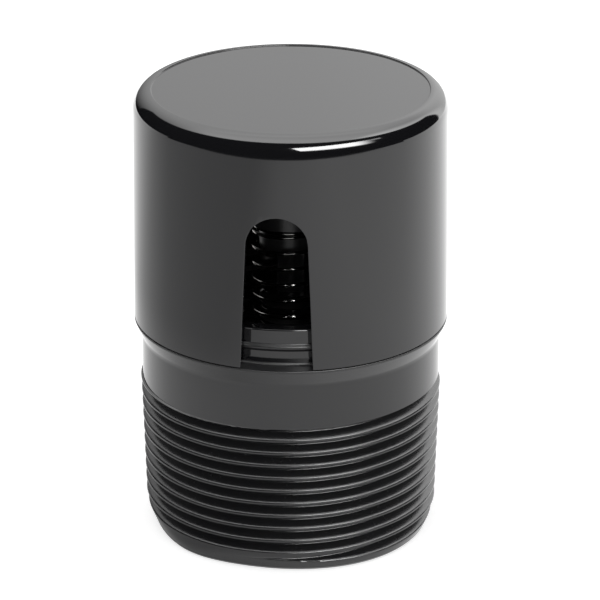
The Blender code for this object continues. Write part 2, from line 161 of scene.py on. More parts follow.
class VentBody(bpy.types.PropertyGroup):
    """The body moulding from its foot to the collar's rim."""

    neck_radius: length("Neck radius", "Radius of the plain neck, a standard pipe", 24.10)
    seam: length("Seam", "Gap between the ledge and the hood's foot", 0.16)
    shoulder_height: length("Shoulder height", "Height of the cone under the ledge", 2.90)
    shoulder_round: length("Shoulder round", "Round where the cone meets the neck", 2.2)
    collar_radius: length("Collar radius", "Outside radius of the collar inside the hood", 22.50)
    collar_wall: length("Collar wall", "Wall of the collar", 2.50)
    bead_lift: length("Bead lift", "Height of the snap bead over the ledge", 2.90)
    bead_half: length("Bead half height", "Half the height of the snap bead", 0.58)
    bead_depth: length("Bead depth", "How far the snap bead stands out", 0.38)
    edge_round: length("Edge round", "Round of the moulding's outer edges", 0.25)
    ledge_round: length("Ledge round", "Rounds at both edges of the ledge", 0.10)
    collar_round: length("Collar round", "Hollow round between the collar and the ledge", 0.40)
    foot_chamfer: length("Foot chamfer", "Chamfer round the open end", 0.45)
    bore_radius: length("Bore radius", "Radius of the bore under the seat", 19.0)
    mouth_chamfer: length("Mouth chamfer", "Chamfer at the mouth of the bore", 0.50)
    web_drop: length("Web drop", "Depth of the seat web under the ledge", 5.70)
    web_thickness: length("Web thickness", "Thickness of the seat web", 2.20)
    web_round: length("Web round", "Rounds of the web into the walls", 0.90)
    port_radius: length("Port radius", "Radius of the hole in the seat web", 13.0)
    lip_width: length("Lip width", "Width of the seat lip", 1.40)
    lip_height: length("Lip height", "Height of the seat lip under the web", 1.20)
    lip_nose: length("Lip nose", "Rounds of the seat lip", 0.45)
    arm_width: length("Arm width", "Width of a spider arm", 2.20)
    arm_height: length("Arm height", "Height of a spider arm", 2.20)
    arm_lap: length("Arm lap", "How far an arm runs into the web", 2.00)
    arm_rise: length("Arm rise", "How far the arms stand over the web", 0.40)
    arm_round: length("Arm round", "Round of the arms' edges", 0.30)
    seat_rise: length("Seat rise", "How far the spring seat stands over the web", 0.70)
    seat_margin: length("Seat margin", "Spring seat outside the spring", 0.65)
    hub_drop: length("Hub drop", "How far the hub stops short of the web's underside", 0.30)
    guide_radius: length("Guide radius", "Outside radius of the stem guide", 5.07)
    guide_bore: length("Guide bore", "Radius of the hole that the stem slides in", 2.50)
    guide_height: length("Guide height", "Height of the stem guide over the spring seat", 9.30)
    guide_chamfer: length("Guide chamfer", "Chamfer on top of the stem guide", 0.50)


class VentHood(bpy.types.PropertyGroup):
    """The slotted hood."""

    draft: length("Draft", "How much smaller the hood is at its head", 0.30)
    wall: length("Wall", "Wall of the hood at its foot", 2.45)
    inner_draft: length("Inner draft", "How much smaller the inside is at its head", 0.20)
    roof: length("Roof", "Thickness of the hood's top", 2.60)
    top_round: length("Top round", "Round between the hood's side and top", 2.80)
    inner_round: length("Inner round", "Round inside, under the roof", 1.20)
    dish_margin: length("Dish margin", "Flat rim between the round and the dish", 0.10)
    dish_depth: length("Dish depth", "Depth of the dish in the hood's top", 0.18)
    dish_round: length("Dish round", "Rounds of the dish's edge", 0.10)
    foot_round: length("Foot round", "Round of the hood's outer foot edge", 0.12)
    lead_width: length("Lead width", "Width of the chamfer inside the foot", 0.35)
    lead_height: length("Lead height", "Height of the chamfer inside the foot", 0.30)
    snap_depth: length("Snap depth", "Depth of the groove for the collar's bead", 0.555)
    snap_half: length("Snap half height", "Half the height of that groove", 0.83)
    snap_centre: length("Snap centre", "Height of the groove over the hood's foot", 2.83)
    slot_count: count("Slots", "Slots round the hood", 3)
    slot_radius: length("Slot radius", "Radius of a slot's arch", 4.83)
    slot_centre: length("Slot centre", "Height of the centre of a slot's arch", 55.93)
    slot_draft: angle("Slot draft", "Slope of each side of a slot", 2.40)
    slot_round: length("Slot round", "Round of the slots' outer edges", 0.14)
    upper_ring: length("Upper ring", "Depth under the top of a plain ring round the side", 3.5)
    crown_gap: length("Crown gap", "From the slots' crowns up to a second plain ring", 0.5)


class VentSpring(bpy.types.PropertyGroup):
    """The return spring."""

    wire_diameter: length("Wire diameter", "Diameter of the spring wire", 0.58)
    turns: count("Turns", "Turns of the spring, with its closed ends", 9)
    closed_turns: count("Closed turns", "Close-wound turns at each end", 1)
    tip_angle: angle("Tip angle", "Where the wire's two tips stand", -70)
    travel: length("Travel", "How far the stem's full travel shortens the spring", 7.0)


class VentPoppet(bpy.types.PropertyGroup):
    """The plate and stem, its washer and the spring cap."""

    plate_thickness: length("Plate thickness", "Thickness of the plate under the washer", 2.00)
    plate_round: length("Plate round", "Rounds of the plate's rim", 0.45)
    boss_radius: length("Boss radius", "Radius of the boss that holds the washer", 6.00)
    boss_lip: length("Boss lip", "How far the lip over the washer stands out", 0.90)
    boss_lip_height: length("Boss lip height", "Height of that lip", 0.70)
    rest_gap: length("Rest gap", "Gap between pieces that touch", 0.30)
    stem_radius: length("Stem radius", "Radius of the stem", 2.20)
    barb_grip: length("Barb grip", "How far the barbed head stands out", 0.90)
    barb_tip: length("Barb tip", "Radius of the head's tip", 1.50)
    barb_height: length("Barb height", "Height of the barbed head", 1.60)
    washer_round: length("Washer round", "Rounds of the washer's outer edges", 0.30)
    cap_boss_radius: length("Cap boss radius", "Radius of the cap's boss inside the spring", 5.07)
    cap_seat: length("Cap seat", "Height of the face that the spring pushes on", 51.63)
    cap_round: length("Cap round", "Round of the cap's upper edge", 0.60)
    socket_depth: length("Socket depth", "Depth of the socket for the barbed head", 2.10)
    socket_gap: length("Socket gap", "Gap round the barbed head", 0.50)
    small_round: length("Small round", "Round of the other edges", 0.15)


class VentFinish(bpy.types.PropertyGroup):
    """Colours and surfaces."""

    moulding: colour("Moulding", "Black of the body and the hood", (0.0070, 0.0070, 0.0080))
    moulding_gloss: factor("Moulding roughness", "Roughness of the polished faces", 0.055)
    thread_gloss: factor("Thread roughness", "Roughness of the thread", 0.24)
    thread_dust: colour("Thread dust", "Colour of dust held by the thread", (0.018, 0.018, 0.020))
    speck: colour("Speck", "Colour of specks of dust on the hood", (0.110, 0.110, 0.112))
    stem_plastic: colour("Stem plastic", "Black of the stem and the cap", (0.020, 0.020, 0.021))
    rubber: colour("Rubber", "Dark grey of the washer", (0.030, 0.030, 0.031))
    # The steel is darkened below bright steel: painted shade for the coils inside the hood
    steel: colour("Steel", "Dark drawn wire", (0.32, 0.315, 0.305))


class VentStage(bpy.types.PropertyGroup):
    """Floor, light and camera."""

    camera_distance: length("Camera distance", "From the valve's axis to the camera", 516.9151)
    camera_height: length("Camera height", "Height of the camera over the floor", 246.3979)
    camera_turn: angle("Camera turn", "How far the camera stands round from the front slot", 5.1)
    camera_pitch: angle("Camera pitch", "How far the camera looks down", 21.561)
    focal_pixels: number("Focal length", "Focal length in pixels of the frame", 3443.9977)
    frame_pixels: count("Frame", "Width and height of the frame in pixels", 600)
    centre_x: number("Centre X", "Column of the frame that the lens points at", 290.7634)
    centre_y: number("Centre Y", "Row of the frame that the lens points at", 272.4389)
    floor_front: length("Floor front", "From the axis to the floor's round front edge", 245)
    floor_half: length("Floor half", "Half the width of that round edge", 300)
    floor_steps: count("Floor steps", "Steps in that round edge", 96)
    floor_back: length("Floor back", "From the axis to the floor's back edge", 1400)
    floor_side: length("Floor side", "From the axis to each side of the floor", 420)
    key_distance: length("Key distance", "From the hood to the key lamp", 1000)
    key_width: length("Key width", "Width of the key lamp", 1160)
    key_height: length("Key height", "Height of the key lamp", 440)
    key_turn: angle("Key turn", "How far round from the front slot the key lamp stands", 43)
    key_rise: angle("Key rise", "How far up the key lamp stands", 29.1)
    key_glow: number("Key glow", "Brightness of the key lamp's cloth", 21.0)


def pick(piece):
    """Make a piece the only one selected, and the active one."""
    bpy.ops.object.select_all(action="DESELECT")
    bpy.context.view_layer.objects.active = piece
    piece.select_set(True)


def read_places(piece):
    """The x, the y and the height of every point of a piece."""
    places = np.empty(len(piece.data.vertices) * 3)
    piece.data.vertices.foreach_get("co", places)
    return places.reshape(-1, 3).T


def write_places(piece, x, y, height):
    """Move the points of a piece to new places."""
    piece.data.vertices.foreach_set("co", np.column_stack((x, y, height)).ravel())
    piece.data.update()


def select_where(piece, test):
    """Select the points of an edited mesh that pass a test of their place."""
    mesh = bmesh.from_edit_mesh(piece.data)
    for point in mesh.verts:
        point.select = test(point.co)
    mesh.select_flush_mode()
    bmesh.update_edit_mesh(piece.data)


def near(place):
    """A test for points at a place."""
    return lambda point: (point - place).length < MERGE_DISTANCE


def fillet_reach(before, corner, after, radius):
    """Distance from a corner to the ends of a round of some radius."""
    return radius / math.tan((before - corner).angle(after - corner) / 2)


def draw_section(name, corners, steps, closed=True):
    """Draw a section in the XZ plane from (across, height, round) corners, in edit mode."""
    places = [Vector((across, 0.0, up)) for across, up, _ in corners]
    bpy.ops.object.select_all(action="DESELECT")
    bpy.ops.mesh.primitive_plane_add(size=MM, enter_editmode=True)
    piece = bpy.context.object
    piece.name = name
    piece.data.name = name
    bpy.ops.mesh.select_mode(type="VERT")
    bpy.ops.mesh.merge(type="CENTER")
    bpy.ops.transform.translate(value=places[0])
    for place, following in zip(places, places[1:]):
        bpy.ops.mesh.extrude_region_move(TRANSFORM_OT_translate={"value": following - place})
    if closed:
        select_where(piece, lambda point: near(places[0])(point) or near(places[-1])(point))
        bpy.ops.mesh.edge_face_add()
    for index, corner in enumerate(corners):
        if corner[2]:
            before, place = places[index - 1], places[index]
            after = places[(index + 1) % len(places)]
            select_where(piece, near(place))
            bpy.ops.mesh.bevel(
                affect="VERTICES",
                offset=fillet_reach(before, place, after, corner[2]),
                segments=steps,
                profile=0.5,
                clamp_overlap=False,
            )
    return piece


def close_mesh():
    """Merge the doubles of the edited mesh and turn its faces outwards."""
    bpy.ops.mesh.select_all(action="SELECT")
    bpy.ops.mesh.remove_doubles(threshold=MERGE_DISTANCE)
    bpy.ops.mesh.normals_make_consistent(inside=False)


def turn_section(sides):
    """Spin the drawn section once round the axis."""
    bpy.ops.mesh.select_all(action="SELECT")
    bpy.ops.mesh.spin(
        steps=sides, angle=math.tau, center=(0.0, 0.0, 0.0), axis=(0.0, 0.0, 1.0), use_auto_merge=True
    )
    close_mesh()


def turned_piece(name, corners, sides, steps, closed=True):
    """A piece turned from a section, back in object mode."""
    piece = draw_section(name, corners, steps, closed)
    turn_section(sides)
    bpy.ops.object.mode_set(mode="OBJECT")
    return piece


def screw_up(piece, rise, turns, steps):
    """Wind an open section or a ring round the axis, with a rise in each turn."""
    bpy.ops.object.modifier_add(type="SCREW")
    screw = piece.modifiers[-1]
    screw.angle = math.tau
    screw.screw_offset = rise
    screw.iterations = turns
    screw.steps = steps
    screw.render_steps = steps
    bpy.ops.object.modifier_apply(modifier=screw.name)


def apply_boolean(piece, other, operation):
    """Join or cut a piece with another solid, which is used up."""
    pick(piece)
    bpy.ops.object.modifier_add(type="BOOLEAN")
    modifier = piece.modifiers[-1]
    modifier.solver = "MANIFOLD"
    modifier.operation = operation
    modifier.object = other
    bpy.ops.object.modifier_apply(modifier=modifier.name)
    bpy.data.objects.remove(other, do_unlink=True)


def finish_piece(piece, node, body, material):
    """Shade a piece, give it its finish and let it stand for its CAD node."""
    pick(piece)
    bpy.ops.object.shade_smooth_by_angle(angle=bpy.context.scene.vent_detail.sharp_angle)
    bpy.ops.object.modifier_add(type="WEIGHTED_NORMAL")
    piece.modifiers[-1].keep_sharp = True
    bpy.ops.object.modifier_apply(modifier=piece.modifiers[-1].name)
    piece.data.materials.clear()
    piece.data.materials.append(material)
    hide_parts(node)
    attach(piece, body)


class Signal:
    """A shader socket that adds its own Math nodes when it stands in an expression."""

    def __init__(self, tree, socket):
        self.tree = tree
        self.socket = socket

    def combined(self, operation, first, second=None):
        """The result of a Math node on one or two values or signals."""
        node = self.tree.nodes.new("ShaderNodeMath")
        node.operation = operation
        for socket, value in zip(node.inputs, (first, second)):
            if isinstance(value, Signal):
                self.tree.links.new(value.socket, socket)
            elif value is not None:
                socket.default_value = value
        return Signal(self.tree, node.outputs[0])

    def __add__(self, other):
        return self.combined("ADD", self, other)

    def __radd__(self, other):
        return self.combined("ADD", other, self)

    def __sub__(self, other):
        return self.combined("SUBTRACT", self, other)

    def __rsub__(self, other):
        return self.combined("SUBTRACT", other, self)

    def __mul__(self, other):
        return self.combined("MULTIPLY", self, other)

    def __rmul__(self, other):
        return self.combined("MULTIPLY", other, self)

    def __truediv__(self, other):
        return self.combined("DIVIDE", self, other)

    def __abs__(self):
        return self.combined("ABSOLUTE", self)

    def at_least(self, other):
        """The larger of two signals."""
        return self.combined("MAXIMUM", self, other)

    def at_most(self, other):
        """The smaller of two signals."""
        return self.combined("MINIMUM", self, other)

    def arcsine(self):
        """The angle whose sine is this signal."""
        return self.combined("ARCSINE", self)

    def exponential(self):
        """The number e to the power of this signal."""
        return self.combined("EXPONENT", self)


# Places of the colour sockets on a Mix node
MIX_SHARE, MIX_FIRST, MIX_SECOND, MIX_RESULT = 0, 6, 7, 2


class Graph:
    """A node tree to which nodes are added in one line each."""

    def __init__(self, tree):
        self.tree = tree

    def node(self, kind, settings=None, sockets=None, output=0):
        """Add a node, set it up and join its inputs; gives one of its outputs."""
        node = self.tree.nodes.new(kind)
        for name, value in (settings or {}).items():
            setattr(node, name, value)
        for name, value in (sockets or {}).items():
            self.feed(node.inputs[name], value)
        return Signal(self.tree, node.outputs[output])

    def feed(self, socket, value):
        """Link a signal to a socket or set the socket's own value."""
        if isinstance(value, Signal):
            self.tree.links.new(value.socket, socket)
        else:
            socket.default_value = value

    def dress(self, shader, values):
        """Give sockets of a shader their signals or their own values."""
        for name, value in values.items():
            self.feed(shader.inputs[name], value)

    def rays(self):
        """Signals for rays from the camera or through glass, and for reflected rays."""
        path = self.node("ShaderNodeLightPath").socket.node.outputs
        camera = Signal(self.tree, path["Is Camera Ray"])
        through = Signal(self.tree, path["Is Transmission Ray"])
        return camera.at_least(through), Signal(self.tree, path["Is Glossy Ray"])

    def ramp(self, signal, low, high):
        """A signal as it goes smoothly from zero at one value to one at another."""
        return self.node(
            "ShaderNodeMapRange",
            {"interpolation_type": "SMOOTHSTEP", "clamp": True},
            {"Value": signal, "From Min": low, "From Max": high, "To Min": 0.0, "To Max": 1.0},
        )

    def mixed(self, share, first, second):
        """A colour mixed from two others, each a colour or a signal."""
        return self.node(
            "ShaderNodeMix",
            {"data_type": "RGBA"},
            {MIX_SHARE: share, MIX_FIRST: first, MIX_SECOND: second},
            output=MIX_RESULT,
        )

    def place(self):
        """Object coordinates, in metres."""
        return self.node("ShaderNodeTexCoord", output="Object")

    def split(self, vector):
        """The three parts of a vector."""
        parts = self.node("ShaderNodeSeparateXYZ", sockets={"Vector": vector})
        outputs = parts.socket.node.outputs
        return [Signal(self.tree, outputs[axis]) for axis in range(3)]

    def grain(self, place, size, detail=2.0, roughness=0.5):
        """Noise whose features are about one size, in metres."""
        return self.node(
            "ShaderNodeTexNoise",
            {"noise_dimensions": "3D"},
            {"Vector": place, "Scale": 1.0 / size, "Detail": detail, "Roughness": roughness},
            output="Fac",
        )

    def bump(self, height, distance, normal=None):
        """A bump from a height signal, scaled to a distance in metres."""
        sockets = {"Height": height, "Distance": distance}
        if normal:
            sockets["Normal"] = normal
        return self.node("ShaderNodeBump", sockets=sockets)


def new_finish(name):
    """A material with its graph and its surface shader."""
    material = bpy.data.materials.new(name)
    material.use_nodes = True
    graph = Graph(material.node_tree)
    shader = material.node_tree.nodes["Principled BSDF"]
    return material, graph, shader


def opaque(rgb):
    """A colour property as the four numbers that a socket takes."""
    return (*rgb, 1.0)


FINE_DETAIL = 3.0
MOULDING_IOR = 1.56
HAZE_SIZE = 14 * MM
HAZE_DETAIL = 4.0
HAZE_ROUGH = 0.03
WAVE_SIZE = 9 * MM
WAVE_DEPTH = 0.004 * MM
SPECK_CELL = 5.5 * MM
SPECK_RADIUS = 0.17 * MM
SPECK_SHARE = 0.80
SPECK_MARGIN = 0.02
SPECK_ROUGH = 0.5


def polished_moulding(name, finish):
    """Black plastic out of a polished mould: faint sink waves and a few specks of dust."""
    material, graph, shader = new_finish(name)
    place = graph.place()
    cells = {"Vector": place, "Scale": 1.0 / SPECK_CELL, "Randomness": 1.0}
    distance = graph.node("ShaderNodeTexVoronoi", sockets=cells, output="Distance")
    chosen = graph.split(graph.node("ShaderNodeTexVoronoi", sockets=cells, output="Color"))[0]
    speck = 1.0 - graph.ramp(distance * SPECK_CELL, SPECK_RADIUS / 2, SPECK_RADIUS)
    speck = speck * graph.ramp(chosen, SPECK_SHARE, SPECK_SHARE + SPECK_MARGIN)
    haze = graph.grain(place, HAZE_SIZE, HAZE_DETAIL)
    graph.dress(
        shader,
        {
            "Base Color": graph.mixed(speck, opaque(finish.moulding), opaque(finish.speck)),
            "Roughness": finish.moulding_gloss + haze * HAZE_ROUGH + speck * SPECK_ROUGH,
            "Normal": graph.bump(graph.grain(place, WAVE_SIZE), WAVE_DEPTH),
            "IOR": MOULDING_IOR,
        },
    )
    return material


ZONE_EDGE = (-0.10 * MM, 0.15 * MM)
SCUFF_SIZE = 0.9 * MM
SCUFF_DETAIL = 6.0
SCUFF_HARSHNESS = 0.7
SCUFF_LEAST = 0.7
SCUFF_GAIN = 0.6
PATCH_SIZE = 6 * MM
PATCH_REACH = (0.35, 0.75)
DUST_REACH = (0.52, 0.80)
PIT_SIZE = 0.22 * MM
PIT_DEPTH = 0.010 * MM
MATT_EDGE = 0.1 * MM
BEAD_ROUGH = 0.30
LEDGE_ROUGH = 0.40


def threaded_moulding(name, finish, thread, body):
    """The same plastic: polished on the neck, dull and dusty on the thread, matt by the bead."""
    material, graph, shader = new_finish(name)
    place = graph.place()
    height = graph.split(place)[2]
    zone = 1.0 - graph.ramp(height, thread.top + ZONE_EDGE[0], thread.top + ZONE_EDGE[1])
    scuffs = graph.grain(place, SCUFF_SIZE, SCUFF_DETAIL, SCUFF_HARSHNESS)
    patches = graph.ramp(graph.grain(place, PATCH_SIZE, FINE_DETAIL), *PATCH_REACH)
    dust = graph.ramp(scuffs, *DUST_REACH) * zone * patches
    ledge = HOOD_LOW.z - body.seam
    from_bead = abs(height - (ledge + body.bead_lift))
    bead = 1.0 - graph.ramp(from_bead, body.bead_half, body.bead_half + MATT_EDGE)
    from_ledge = abs(height - ledge)
    foot = 1.0 - graph.ramp(from_ledge, body.collar_round, body.collar_round + MATT_EDGE)
    haze = graph.grain(place, HAZE_SIZE, HAZE_DETAIL)
    dull = zone * (finish.thread_gloss - finish.moulding_gloss) * (SCUFF_LEAST + SCUFF_GAIN * scuffs)
    matt = bead * BEAD_ROUGH + foot * LEDGE_ROUGH
    waves = graph.bump(graph.grain(place, WAVE_SIZE), WAVE_DEPTH)
    pits = graph.grain(place, PIT_SIZE, FINE_DETAIL) * zone
    graph.dress(
        shader,
        {
            "Base Color": graph.mixed(dust, opaque(finish.moulding), opaque(finish.thread_dust)),
            "Roughness": finish.moulding_gloss + haze * HAZE_ROUGH + dull + matt,
            "Normal": graph.bump(pits, PIT_DEPTH, normal=waves),
            "IOR": MOULDING_IOR,
        },
    )
    return material


TEXTURE_SIZE = 0.35 * MM
TEXTURE_DEPTH = 0.006 * MM
SATIN_ROUGH = 0.26
SATIN_GAIN = 0.14


def satin_moulding(name, finish):
    """Black plastic with the fine texture of a plain mould."""
    material, graph, shader = new_finish(name)
    texture = graph.grain(graph.place(), TEXTURE_SIZE, FINE_DETAIL)
    graph.dress(
        shader,
        {
            "Base Color": opaque(finish.stem_plastic),
            "Roughness": SATIN_ROUGH + texture * SATIN_GAIN,
            "Normal": graph.bump(texture, TEXTURE_DEPTH),
        },
    )
    return material


BLOOM_SIZE = 4 * MM
BLOOM_DETAIL = 5.0
BLOOM_SHARE = 0.5
BLOOM_LIFT = 2.0
RUBBER_ROUGH = 0.55
RUBBER_GAIN = 0.2
PORE_SIZE = 0.15 * MM
PORE_DEPTH = 0.010 * MM


def moulded_rubber(name, finish):
    """Matt dark rubber with a dry bloom."""
    material, graph, shader = new_finish(name)
    place = graph.place()
    bloom = graph.grain(place, BLOOM_SIZE, BLOOM_DETAIL)
    grey = tuple(BLOOM_LIFT * part for part in finish.rubber)
    graph.dress(
        shader,
        {
            "Base Color": graph.mixed(bloom * BLOOM_SHARE, opaque(finish.rubber), opaque(grey)),
            "Roughness": RUBBER_ROUGH + bloom * RUBBER_GAIN,
            "Normal": graph.bump(graph.grain(place, PORE_SIZE), PORE_DEPTH),
        },
    )
    return material


MARK_STRETCH = (0.15, 0.15, 1.0)
MARK_SIZE = 0.06 * MM
MARK_DEPTH = 0.002 * MM
WIRE_ROUGH = 0.08
WIRE_GAIN = 0.10


def drawn_wire(name, finish):
    """Steel wire with drawing marks round the coil, its colour darkened as painted shade for the coils
    inside the hood.
    """
    material, graph, shader = new_finish(name)
    level = graph.node("ShaderNodeMapping", sockets={"Vector": graph.place(), "Scale": MARK_STRETCH})
    marks = graph.grain(level, MARK_SIZE, FINE_DETAIL)
    graph.dress(
        shader,
        {
            # Steel colour darkened as painted shade of the hood's inside
            "Base Color": opaque(finish.steel),
            "Metallic": 1.0,
            "Roughness": WIRE_ROUGH + marks * WIRE_GAIN,
            "Normal": graph.bump(marks, MARK_DEPTH),
        },
    )
    return material


def smooth_least(first, second, blend):
    """The smaller of two arrays, with the crossing rounded over a blend."""
    share = np.clip(0.5 + 0.5 * (second - first) / blend, 0.0, 1.0)
    return second + (first - second) * share - blend * share * (1.0 - share)


# Each swelling of the foot's rim: degrees round from the front, width in degrees and height
LOBES = ((-40.0, 13.5, 0.88 * MM), (42.0, 26.0, 1.05 * MM))
RUN_OUT_LIFT = 1.15
ENTRY_LIFT = 0.6


def foot_swell(turn):
    """How far the foot's rim, which is out of round, stands out at turns from the front."""
    degrees = 360.0 * (turn - np.round(turn))
    swell = np.zeros_like(degrees)
    for middle, width, lift in LOBES:
        swell += lift * np.exp(-0.5 * ((degrees - middle) / width) ** 2)
    return swell


def groove_wall(thread, turn, index, height):
    """Radius of both walls of one groove, which comes in at its start and runs out at its end."""
    middle = thread.groove_start + thread.pitch * (turn + index)
    run_out = np.maximum(0.0, (middle - thread.groove_end) / (thread.runout_turn * thread.pitch))
    entry = np.clip((turn + index - thread.cut_start) / thread.cut_turn, 0.0, 1.0)
    share = entry * (1.0 + ENTRY_LIFT) - ENTRY_LIFT - RUN_OUT_LIFT * run_out
    root = thread.crest_radius + thread.taper * middle - thread.depth * share
    past_root = (np.abs(height - middle) - thread.root_width / 2) / math.tan(thread.flank_angle)
    return root - smooth_least(-past_root, np.zeros_like(past_root), thread.root_blend)


def thread_surface(thread, neck_radius, turn, height):
    """Radius of the threaded wall at turns round from the front and at heights."""
    cone = thread.crest_radius + thread.taper * height
    over_top = np.clip((height - thread.top) / thread.top_chamfer, 0.0, 1.0)
    foot = thread.crest_radius - thread.rim_depth + thread.rim_slope * height + foot_swell(turn)
    blank = smooth_least(cone + (neck_radius - cone) * over_top, foot, thread.rim_blend)
    below = np.floor((height - thread.groove_start) / thread.pitch - turn)
    rounded = smooth_least(blank, groove_wall(thread, turn, below + 1, height), thread.upper_blend)
    return smooth_least(rounded, groove_wall(thread, turn, below, height), thread.lower_blend)


# Rows of points over and under the middle of the groove, in millimetres
ROOT_ROWS = (0.0, 0.05, 0.10, 0.17)
FLANK_ROWS = (0.32, 0.48, 0.62)
CREST_ROWS = (0.70, 0.78, 0.85, 0.895, 0.92, 0.945, 1.00, 1.055)
CUT_HEIGHT = 0.70 * MM
CUT_GAP = 0.20 * MM
NECK_CUT = 26.6 * MM
# A section is drawn at +X, a quarter turn round from the front
SECTION_TURN = 0.25
SPARE_TURNS = 2


def wind_thread(name, thread, neck_radius, sides):
    """The threaded wall: one pitch of rows wound up the helix, cut level and shaped."""
    rows = [row * MM for row in ROOT_ROWS + FLANK_ROWS + CREST_ROWS]
    start = thread.groove_start + thread.pitch * (SECTION_TURN - 1)
    heights = [start - row for row in reversed(rows)] + [start + row for row in rows[1:]]
    heights = [start - thread.pitch / 2] + heights + [start + thread.pitch / 2]
    corners = [(thread.crest_radius, height, 0.0) for height in heights]
    wall = draw_section(name, corners, 1, closed=False)
    bpy.ops.object.mode_set(mode="OBJECT")
    screw_up(wall, thread.pitch, math.ceil(NECK_CUT / thread.pitch) + SPARE_TURNS, sides)
    bpy.ops.object.mode_set(mode="EDIT")
    close_mesh()
    for level, keep in (
        (CUT_HEIGHT, "above"),
        (thread.top, "both"),
        (thread.top + thread.top_chamfer, "both"),
        (NECK_CUT, "below"),
    ):
        bpy.ops.mesh.select_all(action="SELECT")
        bpy.ops.mesh.bisect(
            plane_co=(0.0, 0.0, level),
            plane_no=(0.0, 0.0, 1.0),
            clear_inner=keep == "above",
            clear_outer=keep == "below",
            threshold=PLACE_TOLERANCE,
        )
    bpy.ops.object.mode_set(mode="OBJECT")
    x, y, height = read_places(wall)
    turn = np.mod(np.arctan2(x, -y), math.tau) / math.tau
    radius = thread_surface(thread, neck_radius, turn, height)
    around = math.tau * turn
    write_places(wall, radius * np.sin(around), -radius * np.cos(around), height)
    return wall


FOOT_ROUND = 0.08 * MM
HEEL_ROUND = 0.05 * MM
MOUTH_ROUND = 0.12 * MM
SOFT_ROUND = 0.2 * MM
BEAD_NOSE = 0.3 * MM
BEAD_FLAT = 0.35


def body_section(body, thread):
    """Section of the body from the foot of the thread inwards, up and down to the neck."""
    ledge = HOOD_LOW.z - body.seam
    web_top = ledge - body.web_drop
    web_bottom = web_top - body.web_thickness
    lip_bottom = web_bottom - body.lip_height
    lip_outer = body.port_radius + body.lip_width
    collar_inner = body.collar_radius - body.collar_wall
    bead = ledge + body.bead_lift
    bead_flat = BEAD_FLAT * body.bead_half
    bead_radius = body.collar_radius + body.bead_depth
    foot_cut = CUT_HEIGHT - CUT_GAP
    foot_radius = thread.crest_radius - thread.rim_depth + thread.rim_slope * foot_cut
    return [
        (foot_radius, foot_cut, 0.0),
        (foot_radius, body.foot_chamfer, FOOT_ROUND),
        (foot_radius - body.foot_chamfer, 0.0, HEEL_ROUND),
        (body.bore_radius + body.mouth_chamfer, 0.0, MOUTH_ROUND),
        (body.bore_radius, body.mouth_chamfer, MOUTH_ROUND),
        (body.bore_radius, web_bottom, body.web_round),
        (lip_outer, web_bottom, SOFT_ROUND),
        (lip_outer, lip_bottom, body.lip_nose),
        (body.port_radius, lip_bottom, body.lip_nose),
        (body.port_radius, web_top, body.edge_round),
        (collar_inner, web_top, body.web_round),
        (collar_inner, BODY_HIGH.z, body.edge_round),
        (body.collar_radius, BODY_HIGH.z, body.edge_round),
        (body.collar_radius, bead + body.bead_half, SOFT_ROUND),
        (bead_radius, bead + bead_flat, BEAD_NOSE),
        (bead_radius, bead - bead_flat, BEAD_NOSE),
        (body.collar_radius, bead - body.bead_half, SOFT_ROUND),
        (body.collar_radius, ledge, body.collar_round),
        (BODY_HIGH.x, ledge, body.ledge_round),
        (BODY_HIGH.x, ledge - body.edge_round, body.ledge_round),
        (body.neck_radius, ledge - body.shoulder_height, body.shoulder_round),
        (body.neck_radius, NECK_CUT + CUT_GAP, 0.0),
    ]


def swell_foot(piece, inner):
    """Move the outer points of the foot's section out to the rim, which is out of round."""
    x, y, height = read_places(piece)
    rim = (height < CUT_HEIGHT - CUT_GAP / 2) & (np.hypot(x, y) > inner)
    swell = foot_swell(np.arctan2(x, -y) / math.tau)
    grown = np.where(rim, 1.0 + swell / np.hypot(x, y), 1.0)
    write_places(piece, x * grown, y * grown, height)


def bridge_gap(piece, low, high):
    """Bridge the two open rims of a piece between two heights."""
    mesh = bmesh.from_edit_mesh(piece.data)
    for edge in mesh.edges:
        middle = (edge.verts[0].co.z + edge.verts[1].co.z) / 2
        edge.select_set(edge.is_boundary and low - CUT_GAP / 4 < middle < high + CUT_GAP / 4)
    bmesh.update_edit_mesh(piece.data)
    bpy.ops.mesh.bridge_edge_loops()


def join_wall(piece, wall):
    """Join the threaded wall to the turned body and close the two gaps between them."""
    wall.select_set(True)
    bpy.ops.object.join()
    bpy.ops.object.mode_set(mode="EDIT")
    bpy.ops.mesh.select_mode(type="EDGE")
    bridge_gap(piece, CUT_HEIGHT - CUT_GAP, CUT_HEIGHT)
    bridge_gap(piece, NECK_CUT, NECK_CUT + CUT_GAP)
    bpy.ops.mesh.select_mode(type="VERT")
    close_mesh()
    bpy.ops.object.mode_set(mode="OBJECT")


ARM_TURNS = (45, 135)
NEARLY_ALONG = 0.5
BEVEL_STEPS = 3


